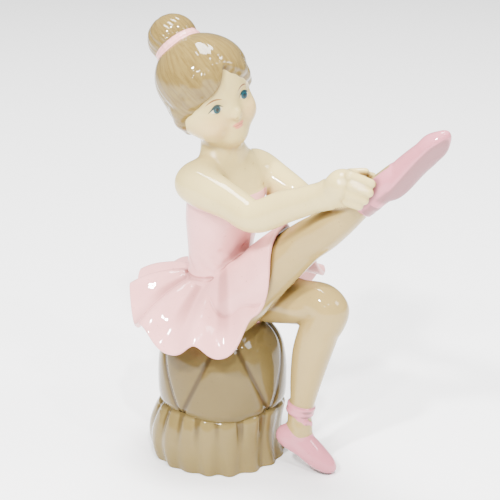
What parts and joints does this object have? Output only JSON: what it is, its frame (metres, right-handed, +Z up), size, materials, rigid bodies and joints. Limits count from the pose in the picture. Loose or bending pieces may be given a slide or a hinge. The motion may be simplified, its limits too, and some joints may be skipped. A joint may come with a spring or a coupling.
{
  "type": "porcelain figurine",
  "caption": "Glazed porcelain figurine of a young dancer with a bun who sits on a tufted pouf and holds one raised, slippered foot.",
  "frame": {"origin": "centre of the pouf's flat foot, on the surface that the figurine stands on", "axes": "+Z is up and is the longest extent; the display front faces -Y, and the raised leg points towards +X"},
  "size_m": [0.1302, 0.1089, 0.1997],
  "materials": {
    "pouf_cushion": "clear glaze over ochre underglaze, glossy",
    "pouf_frill": "clear glaze over paler ochre underglaze, glossy",
    "biscuit": "unglazed, smooth",
    "pink": "clear glaze over pale pink underglaze, glossy",
    "slipper": "clear glaze over rose underglaze, glossy",
    "skin": "clear glaze over ivory underglaze, glossy",
    "hair": "clear glaze over tan underglaze with darker strokes, glossy"
  },
  "bodies": {
    "root": {"pouf_dome": "pouf_cushion", "pouf_frill": "pouf_frill", "pouf_floor": "biscuit", "bodice": "pink", "chest_and_neck": "skin", "head": "skin", "hair_cap": "hair", "hair_bun": "hair", "hair_band": "pink", "nape_knot": "hair", "arm_right": "skin", "hand_right": "skin", "arm_left": "skin", "hand_left": "skin", "leg_right": "skin", "slipper_right": "slipper", "ankle_ribbon_right": "slipper", "leg_left": "skin", "slipper_left": "slipper", "ankle_ribbon_left": "slipper", "tutu_front": "pink", "tutu_over_knee": "pink", "tutu_back": "pink", "tutu_side": "pink"}
  },
  "joints": []
}
